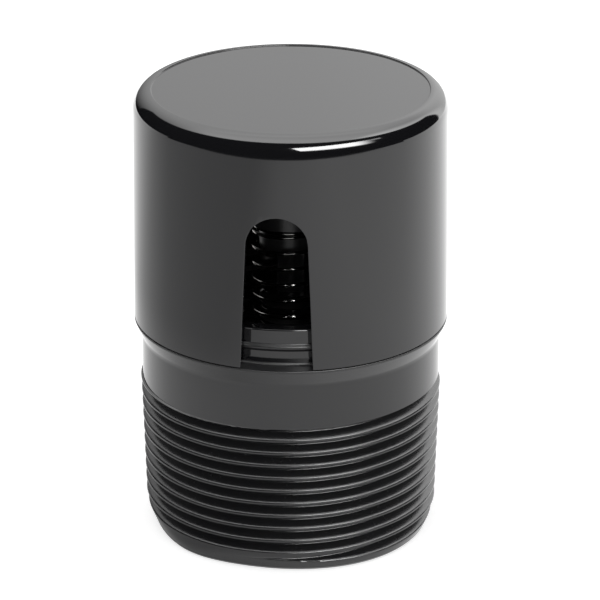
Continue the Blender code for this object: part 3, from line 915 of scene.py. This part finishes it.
def spider_arm(name, body, turn):
    """One bar across the port, which makes two of the spider's arms."""
    web_top = HOOD_LOW.z - body.seam - body.web_drop
    reach = body.port_radius + body.arm_lap
    middle = web_top + body.arm_rise - body.arm_height / 2
    bpy.ops.object.select_all(action="DESELECT")
    bpy.ops.mesh.primitive_cube_add(size=1.0, location=(0.0, 0.0, middle), rotation=(0.0, 0.0, turn))
    arm = bpy.context.object
    arm.name = name
    arm.scale = (2 * reach, body.arm_width, body.arm_height)
    bpy.ops.object.transform_apply(location=True, rotation=True, scale=True)
    bpy.ops.object.mode_set(mode="EDIT")
    along = Vector((math.cos(turn), math.sin(turn), 0.0))
    mesh = bmesh.from_edit_mesh(arm.data)
    bpy.ops.mesh.select_mode(type="EDGE")
    for edge in mesh.edges:
        side = edge.verts[1].co - edge.verts[0].co
        edge.select_set(abs(side.normalized().dot(along)) > NEARLY_ALONG)
    bmesh.update_edit_mesh(arm.data)
    bpy.ops.mesh.bevel(offset=body.arm_round, segments=BEVEL_STEPS, affect="EDGES")
    bpy.ops.object.mode_set(mode="OBJECT")
    return arm


GUIDE_FOOT = 0.3 * MM
GUIDE_TIP = 0.1 * MM
GUIDE_MOUTH = 0.25 * MM
DRILL_OVERREACH = 1 * MM


def hub_levels(body):
    """Heights of the hub's underside, the spring seat and the top of the stem guide."""
    web_top = HOOD_LOW.z - body.seam - body.web_drop
    seat = web_top + body.seat_rise
    return web_top - body.web_thickness + body.hub_drop, seat, seat + body.guide_height


def hub_section(body):
    """Section of the hub in the spider, which carries the spring and the stem guide."""
    bottom, seat, top = hub_levels(body)
    radius = SPRING_HIGH.y + body.seat_margin
    return [
        (0.0, bottom, 0.0),
        (radius, bottom, SOFT_ROUND),
        (radius, seat, SOFT_ROUND),
        (body.guide_radius, seat, GUIDE_FOOT),
        (body.guide_radius, top - body.guide_chamfer, SOFT_ROUND),
        (body.guide_radius - body.guide_chamfer, top, GUIDE_TIP),
        (0.0, top, 0.0),
    ]


def drill_section(body):
    """Section of the drill that opens the stem guide and chamfers both its mouths."""
    bottom, _, top = hub_levels(body)
    wide = body.guide_bore + GUIDE_MOUTH + DRILL_OVERREACH
    return [
        (0.0, bottom - DRILL_OVERREACH, 0.0),
        (wide, bottom - DRILL_OVERREACH, 0.0),
        (body.guide_bore, bottom + GUIDE_MOUTH, 0.0),
        (body.guide_bore, top - GUIDE_MOUTH, 0.0),
        (wide, top + DRILL_OVERREACH, 0.0),
        (0.0, top + DRILL_OVERREACH, 0.0),
    ]


class VENT_OT_body(bpy.types.Operator):
    """Model the threaded body with its collar, seat and spider"""

    bl_idname = "vent.body"
    bl_label = "Body"

    def execute(self, context):
        scene = context.scene
        body, thread, detail = scene.vent_body, scene.vent_thread, scene.vent_detail
        wall = wind_thread("threaded_wall", thread, body.neck_radius, detail.body_sides)
        piece = turned_piece(
            "threaded_body",
            body_section(body, thread),
            detail.body_sides,
            detail.fillet_steps,
            closed=False,
        )
        swell_foot(piece, body.bore_radius + 2 * body.mouth_chamfer)
        join_wall(piece, wall)
        for turn in ARM_TURNS:
            apply_boolean(piece, spider_arm("spider_arm", body, math.radians(turn)), "UNION")
        for name, section, steps, operation in (
            ("spider_hub", hub_section(body), detail.fillet_steps, "UNION"),
            ("guide_drill", drill_section(body), 1, "DIFFERENCE"),
        ):
            other = turned_piece(name, section, detail.small_sides, steps, closed=False)
            apply_boolean(piece, other, operation)
        finish = threaded_moulding("threaded_black_plastic", scene.vent_finish, thread, body)
        finish_piece(piece, "vent_body", "housing", finish)
        return {"FINISHED"}


LEAD_ROUND = 0.08 * MM
SNAP_EDGE = 0.1 * MM
SNAP_ROUND = 0.15 * MM
SNAP_FLAT = 0.3


def hood_section(hood):
    """Section of the hood from the axis over the dished top, down and up the inside."""
    head = HOOD_HIGH.x - hood.draft
    dish = head - hood.top_round - hood.dish_margin
    dish_floor = HOOD_HIGH.z - hood.dish_depth
    foot_inner = HOOD_HIGH.x - hood.wall
    head_inner = foot_inner - hood.inner_draft
    snap = HOOD_LOW.z + hood.snap_centre
    snap_flat = SNAP_FLAT * hood.snap_half
    roof_under = HOOD_HIGH.z - hood.roof
    rings = (HOOD_HIGH.z - hood.upper_ring, hood.slot_centre + hood.slot_radius + hood.crown_gap)
    slope = hood.draft / (HOOD_HIGH.z - HOOD_LOW.z)
    return [
        (0.0, dish_floor, 0.0),
        (dish, dish_floor, hood.dish_round),
        (dish, HOOD_HIGH.z, hood.dish_round),
        (head, HOOD_HIGH.z, hood.top_round),
        *((HOOD_HIGH.x - slope * (ring - HOOD_LOW.z), ring, 0.0) for ring in rings),
        (HOOD_HIGH.x, HOOD_LOW.z, hood.foot_round),
        (foot_inner + hood.lead_width, HOOD_LOW.z, LEAD_ROUND),
        (foot_inner, HOOD_LOW.z + hood.lead_height, LEAD_ROUND),
        (foot_inner, snap - hood.snap_half, SNAP_EDGE),
        (foot_inner + hood.snap_depth, snap - snap_flat, SNAP_ROUND),
        (foot_inner + hood.snap_depth, snap + snap_flat, SNAP_ROUND),
        (foot_inner, snap + hood.snap_half, SNAP_EDGE),
        (head_inner, roof_under, hood.inner_round),
        (0.0, roof_under, 0.0),
    ]


SLOT_OVERREACH = 2 * MM
ARCH_SHARE = 0.985
ARCH_STEPS = 20


def slot_cutter(name, hood, turn):
    """Solid that cuts one arched slot, wider at its foot, out of the hood's side."""
    foot = HOOD_LOW.z - SLOT_OVERREACH
    crown = hood.slot_centre + hood.slot_radius
    widening = math.tan(hood.slot_draft)
    foot_half = hood.slot_radius + (hood.slot_centre - foot) * widening
    crown_half = hood.slot_radius - hood.slot_radius * widening
    corners = [
        (-foot_half, foot, 0.0),
        (foot_half, foot, 0.0),
        (crown_half, crown, ARCH_SHARE * hood.slot_radius),
        (-crown_half, crown, ARCH_SHARE * hood.slot_radius),
    ]
    cutter = draw_section(name, corners, ARCH_STEPS)
    inner = HOOD_HIGH.x - hood.wall - hood.inner_draft - SLOT_OVERREACH
    outwards = (0.0, inner - HOOD_HIGH.x - SLOT_OVERREACH, 0.0)
    bpy.ops.mesh.select_all(action="SELECT")
    bpy.ops.mesh.remove_doubles(threshold=MERGE_DISTANCE)
    bpy.ops.mesh.edge_face_add()
    bpy.ops.transform.translate(value=(0.0, -inner, 0.0))
    bpy.ops.mesh.extrude_region_move(TRANSFORM_OT_translate={"value": outwards})
    close_mesh()
    bpy.ops.object.mode_set(mode="OBJECT")
    cutter.rotation_euler.z = turn
    bpy.ops.object.transform_apply(location=True, rotation=True, scale=True)
    return cutter


FOOT_MARGIN = 0.05 * MM
SIDE_MARGIN = 0.1 * MM
SLOT_CREASE = math.radians(35)


def soften_slots(piece, hood):
    """Round the outer edges of the slots, which lie in the hood's smooth side."""
    pick(piece)
    bpy.ops.object.mode_set(mode="EDIT")
    bpy.ops.mesh.select_mode(type="EDGE")
    bpy.ops.mesh.select_all(action="DESELECT")
    lowest = HOOD_LOW.z + hood.foot_round + FOOT_MARGIN
    highest = HOOD_HIGH.z - hood.top_round
    innermost = HOOD_HIGH.x - hood.draft - SIDE_MARGIN
    mesh = bmesh.from_edit_mesh(piece.data)
    for edge in mesh.edges:
        ends = [point.co for point in edge.verts]
        outside = all(end.xy.length > innermost and end.z < highest for end in ends)
        off_foot = max(end.z for end in ends) > lowest
        edge.select_set(outside and off_foot and edge.calc_face_angle(0.0) > SLOT_CREASE)
    bmesh.update_edit_mesh(piece.data)
    bpy.ops.mesh.bevel(
        offset=hood.slot_round, segments=BEVEL_STEPS, affect="EDGES", clamp_overlap=False
    )
    bpy.ops.mesh.select_mode(type="VERT")
    close_mesh()
    bpy.ops.object.mode_set(mode="OBJECT")


# The hood's large round takes more steps than the other fillets
EXTRA_STEPS = 4


class VENT_OT_hood(bpy.types.Operator):
    """Model the slotted hood that snaps over the collar"""

    bl_idname = "vent.hood"
    bl_label = "Hood"

    def execute(self, context):
        scene = context.scene
        hood, detail = scene.vent_hood, scene.vent_detail
        steps = detail.fillet_steps + EXTRA_STEPS
        piece = turned_piece(
            "slotted_hood", hood_section(hood), detail.hood_sides, steps, closed=False
        )
        for index in range(hood.slot_count):
            cutter = slot_cutter("slot_cutter", hood, math.tau * index / hood.slot_count)
            apply_boolean(piece, cutter, "DIFFERENCE")
        soften_slots(piece, hood)
        finish = polished_moulding("polished_black_plastic", scene.vent_finish)
        finish_piece(piece, "hood", "housing", finish)
        return {"FINISHED"}


# Wire diameters from coil to coil as first wound, so that no two coils touch
LOOSE_SPACING = 4
# Keeps the points where a turn starts from counting as its end
TURN_SLACK = 1e-4


def settle_coils(piece, spring, start, pitch):
    """Move evenly wound coils to their heights: close at both ends, open between."""
    x, y, height = read_places(piece)
    part_turn = np.mod(np.arctan2(y, x) - start + TURN_SLACK, math.tau) / math.tau
    turn = part_turn + np.round(height / pitch - part_turn)
    wire = spring.wire_diameter
    closed = spring.closed_turns
    open_turns = spring.turns - 2 * closed
    rise = SPRING_HIGH.z - SPRING_LOW.z - wire
    in_open = np.clip(turn - closed, 0.0, open_turns)
    in_closed = turn - in_open
    centre = in_closed * wire + in_open * (rise - 2 * closed * wire) / open_turns
    height += SPRING_LOW.z + wire / 2 + centre - turn * pitch
    write_places(piece, x, y, height)


class VENT_OT_spring(bpy.types.Operator):
    """Wind the return spring with its closed ends"""

    bl_idname = "vent.spring"
    bl_label = "Spring"

    def execute(self, context):
        scene = context.scene
        spring, detail = scene.vent_spring, scene.vent_detail
        wire = spring.wire_diameter / 2
        coil_radius = -SPRING_LOW.y - wire
        start = spring.tip_angle
        bpy.ops.object.select_all(action="DESELECT")
        bpy.ops.mesh.primitive_circle_add(
            vertices=detail.wire_sides,
            radius=wire,
            location=(coil_radius * math.cos(start), coil_radius * math.sin(start), 0.0),
            rotation=(math.pi / 2, 0.0, start),
        )
        piece = context.object
        piece.name = "coil_spring"
        piece.data.name = "coil_spring"
        bpy.ops.object.transform_apply(location=True, rotation=True, scale=True)
        pitch = LOOSE_SPACING * spring.wire_diameter
        screw_up(piece, pitch, spring.turns, detail.coil_steps)
        settle_coils(piece, spring, start, pitch)
        bpy.ops.object.mode_set(mode="EDIT")
        bpy.ops.mesh.select_all(action="SELECT")
        bpy.ops.mesh.fill_holes(sides=0)
        close_mesh()
        bpy.ops.object.mode_set(mode="OBJECT")
        finish = drawn_wire("drawn_steel_wire", scene.vent_finish)
        finish_piece(piece, "return_spring", "housing", finish)
        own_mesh(piece)
        return {"FINISHED"}


class VENT_OT_poppet(bpy.types.Operator):
    """Model the plate and stem, the rubber washer and the spring cap"""

    bl_idname = "vent.poppet"
    bl_label = "Poppet"

    def execute(self, context):
        scene = context.scene
        poppet, detail = scene.vent_poppet, scene.vent_detail
        plastic = satin_moulding("satin_black_plastic", scene.vent_finish)
        rubber = moulded_rubber("matt_rubber", scene.vent_finish)
        for name, section, closed, node, slot, material in (
            ("poppet_stem", stem_section(poppet), False, "valve_stem", "stem_plastic", plastic),
            ("seal_ring", washer_section(poppet), True, "seal_washer", "seal_rubber", rubber),
            ("spring_retainer", cap_section(poppet), True, "spring_cap", "stem_plastic", plastic),
        ):
            piece = turned_piece(name, section, detail.small_sides, detail.fillet_steps, closed)
            finish_piece(piece, node, "plunger", material)
        return {"FINISHED"}


def stem_section(poppet):
    """Section of the plate, the washer boss, the stem and its barbed head."""
    plate_top = STEM_LOW.z + poppet.plate_thickness
    lip = WASHER_HIGH.z + poppet.rest_gap
    head = STEM_HIGH.z - poppet.barb_height
    soft = poppet.small_round
    return [
        (0.0, STEM_LOW.z, 0.0),
        (STEM_HIGH.x, STEM_LOW.z, poppet.plate_round),
        (STEM_HIGH.x, plate_top, poppet.plate_round),
        (poppet.boss_radius, plate_top, soft),
        (poppet.boss_radius, lip, soft / 2),
        (poppet.boss_radius + poppet.boss_lip, lip, soft),
        (poppet.boss_radius, lip + poppet.boss_lip_height, soft),
        (poppet.stem_radius, lip + poppet.boss_lip_height, 2 * soft),
        (poppet.stem_radius, head, soft / 2),
        (poppet.stem_radius + poppet.barb_grip, head, soft),
        (poppet.barb_tip, STEM_HIGH.z, soft),
        (0.0, STEM_HIGH.z, 0.0),
    ]


def washer_section(poppet):
    """Section of the rubber washer."""
    inner = poppet.boss_radius + poppet.rest_gap
    return [
        (inner, WASHER_HIGH.z, poppet.small_round),
        (inner, WASHER_LOW.z, poppet.small_round),
        (WASHER_HIGH.x, WASHER_LOW.z, poppet.washer_round),
        (WASHER_HIGH.x, WASHER_HIGH.z, poppet.washer_round),
    ]


def cap_section(poppet):
    """Section of the spring cap with its boss and its socket."""
    hole = poppet.stem_radius + poppet.rest_gap
    socket = poppet.stem_radius + poppet.barb_grip + poppet.socket_gap
    boss = poppet.cap_boss_radius
    soft = poppet.small_round
    return [
        (hole, CAP_LOW.z, soft),
        (boss, CAP_LOW.z, 3 * soft),
        (boss, poppet.cap_seat, soft / 2),
        (CAP_HIGH.x, poppet.cap_seat, soft),
        (CAP_HIGH.x, CAP_HIGH.z, poppet.cap_round),
        (socket, CAP_HIGH.z, soft),
        (socket, CAP_HIGH.z - poppet.socket_depth, soft),
        (hole, CAP_HIGH.z - poppet.socket_depth, soft),
    ]


BLACK = (0.0, 0.0, 0.0, 1.0)
WHITE = (1.0, 1.0, 1.0, 1.0)
AMBIENT = 0.95

# The softbox overhead and the backdrop, as reflections see them by direction
SOFTBOX_AXIS = (0.0, 0.418, 0.908)
SOFTBOX_COSINE = 0.69
SOFTBOX_EDGE = 0.02
BACKDROP_WIDTH = 1.05
BACKDROP_EDGE = 0.03
BASE_GLOW = 0.78
GLOW_RISE = 1.48
SIDE_GLOW = 1.6
TOP_RISE = 1.0
FRONT_GLOW = 0.35
FRONT_REACH = (-0.15, 0.45)
EDGE_GLOW = 1.15
EDGE_REACH = (0.45, 0.70)
RIGHT_GLOW = 1.5
RIGHT_FROM = 0.08
RIGHT_MOST = 0.30
RIGHT_RISE = (0.45, 0.65)

# The floor, as it is lit, and the painted light and shade that reflections see on it by place
FLOOR_WHITE = (0.72, 0.72, 0.72, 1.0)
FLOOR_LIFT = 0.60
FLOOR_GLOW = 2.0
REFLECTED_FLOOR = 0.49
# Painted light for reflections: the floor brighter to the right and towards the back, darker to the
# left
PAINTED_LIGHT_ACROSS = 2.2
PAINTED_LIGHT_LEAST = -0.05
PAINTED_LIGHT_MOST = 0.26
PAINTED_LIGHT_BACK = 3.0
# Painted light and shade on the floor by the foot: lighter to its right, darker to its left
FOOT_LIGHT_ACROSS = 18.0
FOOT_LIGHT_MOST = 0.35
FOOT_LIGHT_REACH = (25 * MM, 60 * MM)
SHADE = 0.36
SHADE_AWAY = (85 * MM, 125 * MM)
SHADE_LEFT = (0.0, 90 * MM)
SHADE_BACK = (50 * MM, 130 * MM)
SHADE_FADE = 0.5

# The key lamp's cloth, in shares of its width and height
LAMP_FADE = (0.12, 0.42)
LAMP_FOOT = (-0.50, -0.20)
LAMP_EDGE = (0.15, 0.40)
LAMP_TAIL = 0.22

SENSOR_WIDTH = 36.0
CLIP_START = 10 * MM


def set_world():
    """White for the camera, soft light for matt faces and a studio for reflections."""
    world = bpy.data.worlds.new("studio")
    world.use_nodes = True
    bpy.context.scene.world = world
    graph = Graph(world.node_tree)
    background = world.node_tree.nodes["Background"]
    seen, glossy = graph.rays()
    direction = graph.node("ShaderNodeTexCoord", output="Generated")
    x, y, z = graph.split(direction)
    towards_box = y * SOFTBOX_AXIS[1] + z * SOFTBOX_AXIS[2]
    softbox = graph.ramp(towards_box, SOFTBOX_COSINE - SOFTBOX_EDGE, SOFTBOX_COSINE + SOFTBOX_EDGE)
    backdrop = graph.ramp(y - abs(x) * BACKDROP_WIDTH, -BACKDROP_EDGE, BACKDROP_EDGE)
    rise = z.at_least(0.0).arcsine().at_most(TOP_RISE)
    glow = BASE_GLOW * (rise * GLOW_RISE).exponential()
    one_less = 1.0 - z
    glow = glow * (1.0 + FRONT_GLOW * (1.0 - graph.ramp(y, *FRONT_REACH)))
    right = ((x + RIGHT_FROM) * RIGHT_GLOW).at_least(0.0).at_most(RIGHT_MOST)
    right = right * (1.0 - graph.ramp(z, *RIGHT_RISE)) + EDGE_GLOW * graph.ramp(x, *EDGE_REACH)
    glow = glow * (1.0 + x * SIDE_GLOW * one_less * one_less + right).at_least(0.0)
    studio = softbox.at_least(backdrop) * glow
    strength = seen + (1.0 - seen) * (glossy * studio + (1.0 - glossy) * AMBIENT)
    graph.dress(background, {"Color": WHITE, "Strength": strength})


def pale_floor():
    """Matt white paper, lifted to the white of the background where the camera sees it, and glowing
    for reflections with painted light and shade that change by place.
    """
    material, graph, shader = new_finish("white_paper")
    seen, glossy = graph.rays()
    place = graph.place()
    x, y, _ = graph.split(place)
    # Painted light and shade: reflections see the floor brighter to the right, darker to the left
    across = (x * PAINTED_LIGHT_ACROSS).at_least(PAINTED_LIGHT_LEAST).at_most(PAINTED_LIGHT_MOST)
    away = graph.node("ShaderNodeVectorMath", {"operation": "LENGTH"}, {0: place}, output="Value")
    # Painted light and shade by the foot, fading out away from it
    foot_light_and_shade = (x * FOOT_LIGHT_ACROSS).at_least(-FOOT_LIGHT_MOST).at_most(FOOT_LIGHT_MOST)
    foot_light_and_shade = foot_light_and_shade * (1.0 - graph.ramp(away, *FOOT_LIGHT_REACH))
    shade = graph.ramp(away, *SHADE_AWAY) * graph.ramp(0.0 - x, *SHADE_LEFT)
    shade = shade * (1.0 - SHADE_FADE * graph.ramp(y, *SHADE_BACK)) * SHADE
    # All the painted light and shade that reflections see, with painted light growing towards the back
    reflected = REFLECTED_FLOOR + across + foot_light_and_shade - shade + y.at_least(0.0) * PAINTED_LIGHT_BACK
    lift = seen * FLOOR_LIFT + glossy * reflected.at_least(0.0)
    graph.dress(
        shader,
        {
            "Base Color": FLOOR_WHITE,
            "Roughness": 1.0,
            "Specular IOR Level": 0.0,
            "Emission Strength": FLOOR_GLOW,
            "Emission Color": graph.mixed(lift / FLOOR_GLOW, BLACK, WHITE),
        },
    )
    return material


def lamp_cloth(stage):
    """Front cloth of the key lamp, bright at one end and along its upper edge."""
    material, graph, shader = new_finish("lamp_cloth")
    across, up, _ = graph.split(graph.place())
    end = (1.0 - graph.ramp(across, *LAMP_FADE)) * graph.ramp(up, *LAMP_FOOT)
    bright = end.at_least(graph.ramp(up, *LAMP_EDGE) * LAMP_TAIL)
    graph.dress(
        shader,
        {
            "Base Color": BLACK,
            "Specular IOR Level": 0.0,
            "Emission Strength": stage.key_glow,
            "Emission Color": graph.mixed(bright, BLACK, WHITE),
        },
    )
    return material


def lay_floor(stage):
    """A floor with a round front edge, so that the hood's side reflects the dark beyond it."""
    bpy.ops.object.select_all(action="DESELECT")
    bpy.ops.mesh.primitive_circle_add(
        vertices=stage.floor_steps, radius=stage.floor_half, enter_editmode=True
    )
    bpy.ops.transform.resize(value=(1.0, stage.floor_front / stage.floor_half, 1.0))
    floor = bpy.context.object
    floor.name = "floor"
    select_where(floor, lambda point: point.y > MERGE_DISTANCE)
    bpy.ops.mesh.delete(type="VERT")
    select_where(floor, near(Vector((stage.floor_half, 0.0, 0.0))))
    for move in (
        (stage.floor_side - stage.floor_half, 0.0, 0.0),
        (0.0, stage.floor_back, 0.0),
        (-2 * stage.floor_side, 0.0, 0.0),
        (0.0, -stage.floor_back, 0.0),
    ):
        bpy.ops.mesh.extrude_region_move(TRANSFORM_OT_translate={"value": move})
    bpy.ops.mesh.select_all(action="SELECT")
    bpy.ops.mesh.edge_face_add()
    bpy.ops.mesh.normals_make_consistent(inside=False)
    bpy.ops.object.mode_set(mode="OBJECT")
    floor.data.materials.append(pale_floor())


def hang_key_lamp(stage):
    """A large lamp at the right, which only reflections see, for the glint on the top's round."""
    aim = Vector((0.0, 0.0, HOOD_HIGH.z))
    level = math.cos(stage.key_rise)
    towards = Vector(
        (level * math.sin(stage.key_turn), -level * math.cos(stage.key_turn), math.sin(stage.key_rise))
    )
    bpy.ops.mesh.primitive_plane_add(size=1.0, location=aim + towards * stage.key_distance)
    key = bpy.context.object
    key.name = "key_lamp"
    key.rotation_euler = towards.to_track_quat("Z", "Y").to_euler()
    key.scale = (stage.key_width, stage.key_height, 1.0)
    key.data.materials.append(lamp_cloth(stage))
    key.visible_camera = False
    key.visible_diffuse = False
    key.visible_shadow = False


def place_camera(stage):
    """The camera that was fitted to the photograph."""
    across = math.sin(stage.camera_turn) * stage.camera_distance
    along = -math.cos(stage.camera_turn) * stage.camera_distance
    bpy.ops.object.camera_add(
        location=(across, along, stage.camera_height),
        rotation=(math.pi / 2 - stage.camera_pitch, 0.0, stage.camera_turn),
    )
    camera = bpy.context.object
    camera.name = "camera"
    half = stage.frame_pixels / 2
    camera.data.sensor_width = SENSOR_WIDTH
    camera.data.lens = stage.focal_pixels / stage.frame_pixels * SENSOR_WIDTH
    camera.data.shift_x = (half - stage.centre_x) / stage.frame_pixels
    camera.data.shift_y = (stage.centre_y - half) / stage.frame_pixels
    camera.data.clip_start = CLIP_START
    bpy.context.scene.camera = camera


class VENT_OT_stage(bpy.types.Operator):
    """Set the floor, the light and the camera"""

    bl_idname = "vent.stage"
    bl_label = "Stage"

    def execute(self, context):
        stage = context.scene.vent_stage
        context.scene.view_settings.view_transform = "Standard"
        set_world()
        lay_floor(stage)
        hang_key_lamp(stage)
        place_camera(stage)
        return {"FINISHED"}


class VENT_PT_panel(bpy.types.Panel):
    """Sidebar panel that lists the pieces"""

    bl_label = "Air Admittance Valve"
    bl_idname = "VENT_PT_panel"
    bl_space_type = "VIEW_3D"
    bl_region_type = "UI"
    bl_category = "Vent Valve"

    def draw(self, context):
        for operator in OPERATORS:
            self.layout.operator(operator.bl_idname)
        for name, group in GROUPS:
            box = self.layout.box()
            box.label(text=group.__doc__)
            settings = getattr(context.scene, name)
            for value in group.__annotations__:
                box.prop(settings, value)


GROUPS = (
    ("vent_detail", VentDetail),
    ("vent_thread", VentThread),
    ("vent_body", VentBody),
    ("vent_hood", VentHood),
    ("vent_spring", VentSpring),
    ("vent_poppet", VentPoppet),
    ("vent_finish", VentFinish),
    ("vent_stage", VentStage),
)
OPERATORS = (VENT_OT_body, VENT_OT_hood, VENT_OT_spring, VENT_OT_poppet, VENT_OT_stage)


def register():
    """Register the classes and hang the settings on the scene."""
    for name, group in GROUPS:
        bpy.utils.register_class(group)
        setattr(bpy.types.Scene, name, PointerProperty(type=group))
    for item in OPERATORS:
        bpy.utils.register_class(item)
    bpy.utils.register_class(VENT_PT_panel)


def unregister():
    """Take the settings off the scene and remove the classes."""
    bpy.utils.unregister_class(VENT_PT_panel)
    for item in reversed(OPERATORS):
        bpy.utils.unregister_class(item)
    for name, group in reversed(GROUPS):
        delattr(bpy.types.Scene, name)
        bpy.utils.unregister_class(group)


def main():
    """Build every piece and the stage."""
    register()
    bpy.ops.vent.body()
    bpy.ops.vent.hood()
    bpy.ops.vent.spring()
    bpy.ops.vent.poppet()
    bpy.ops.vent.stage()


if __name__ == "__main__":
    main()
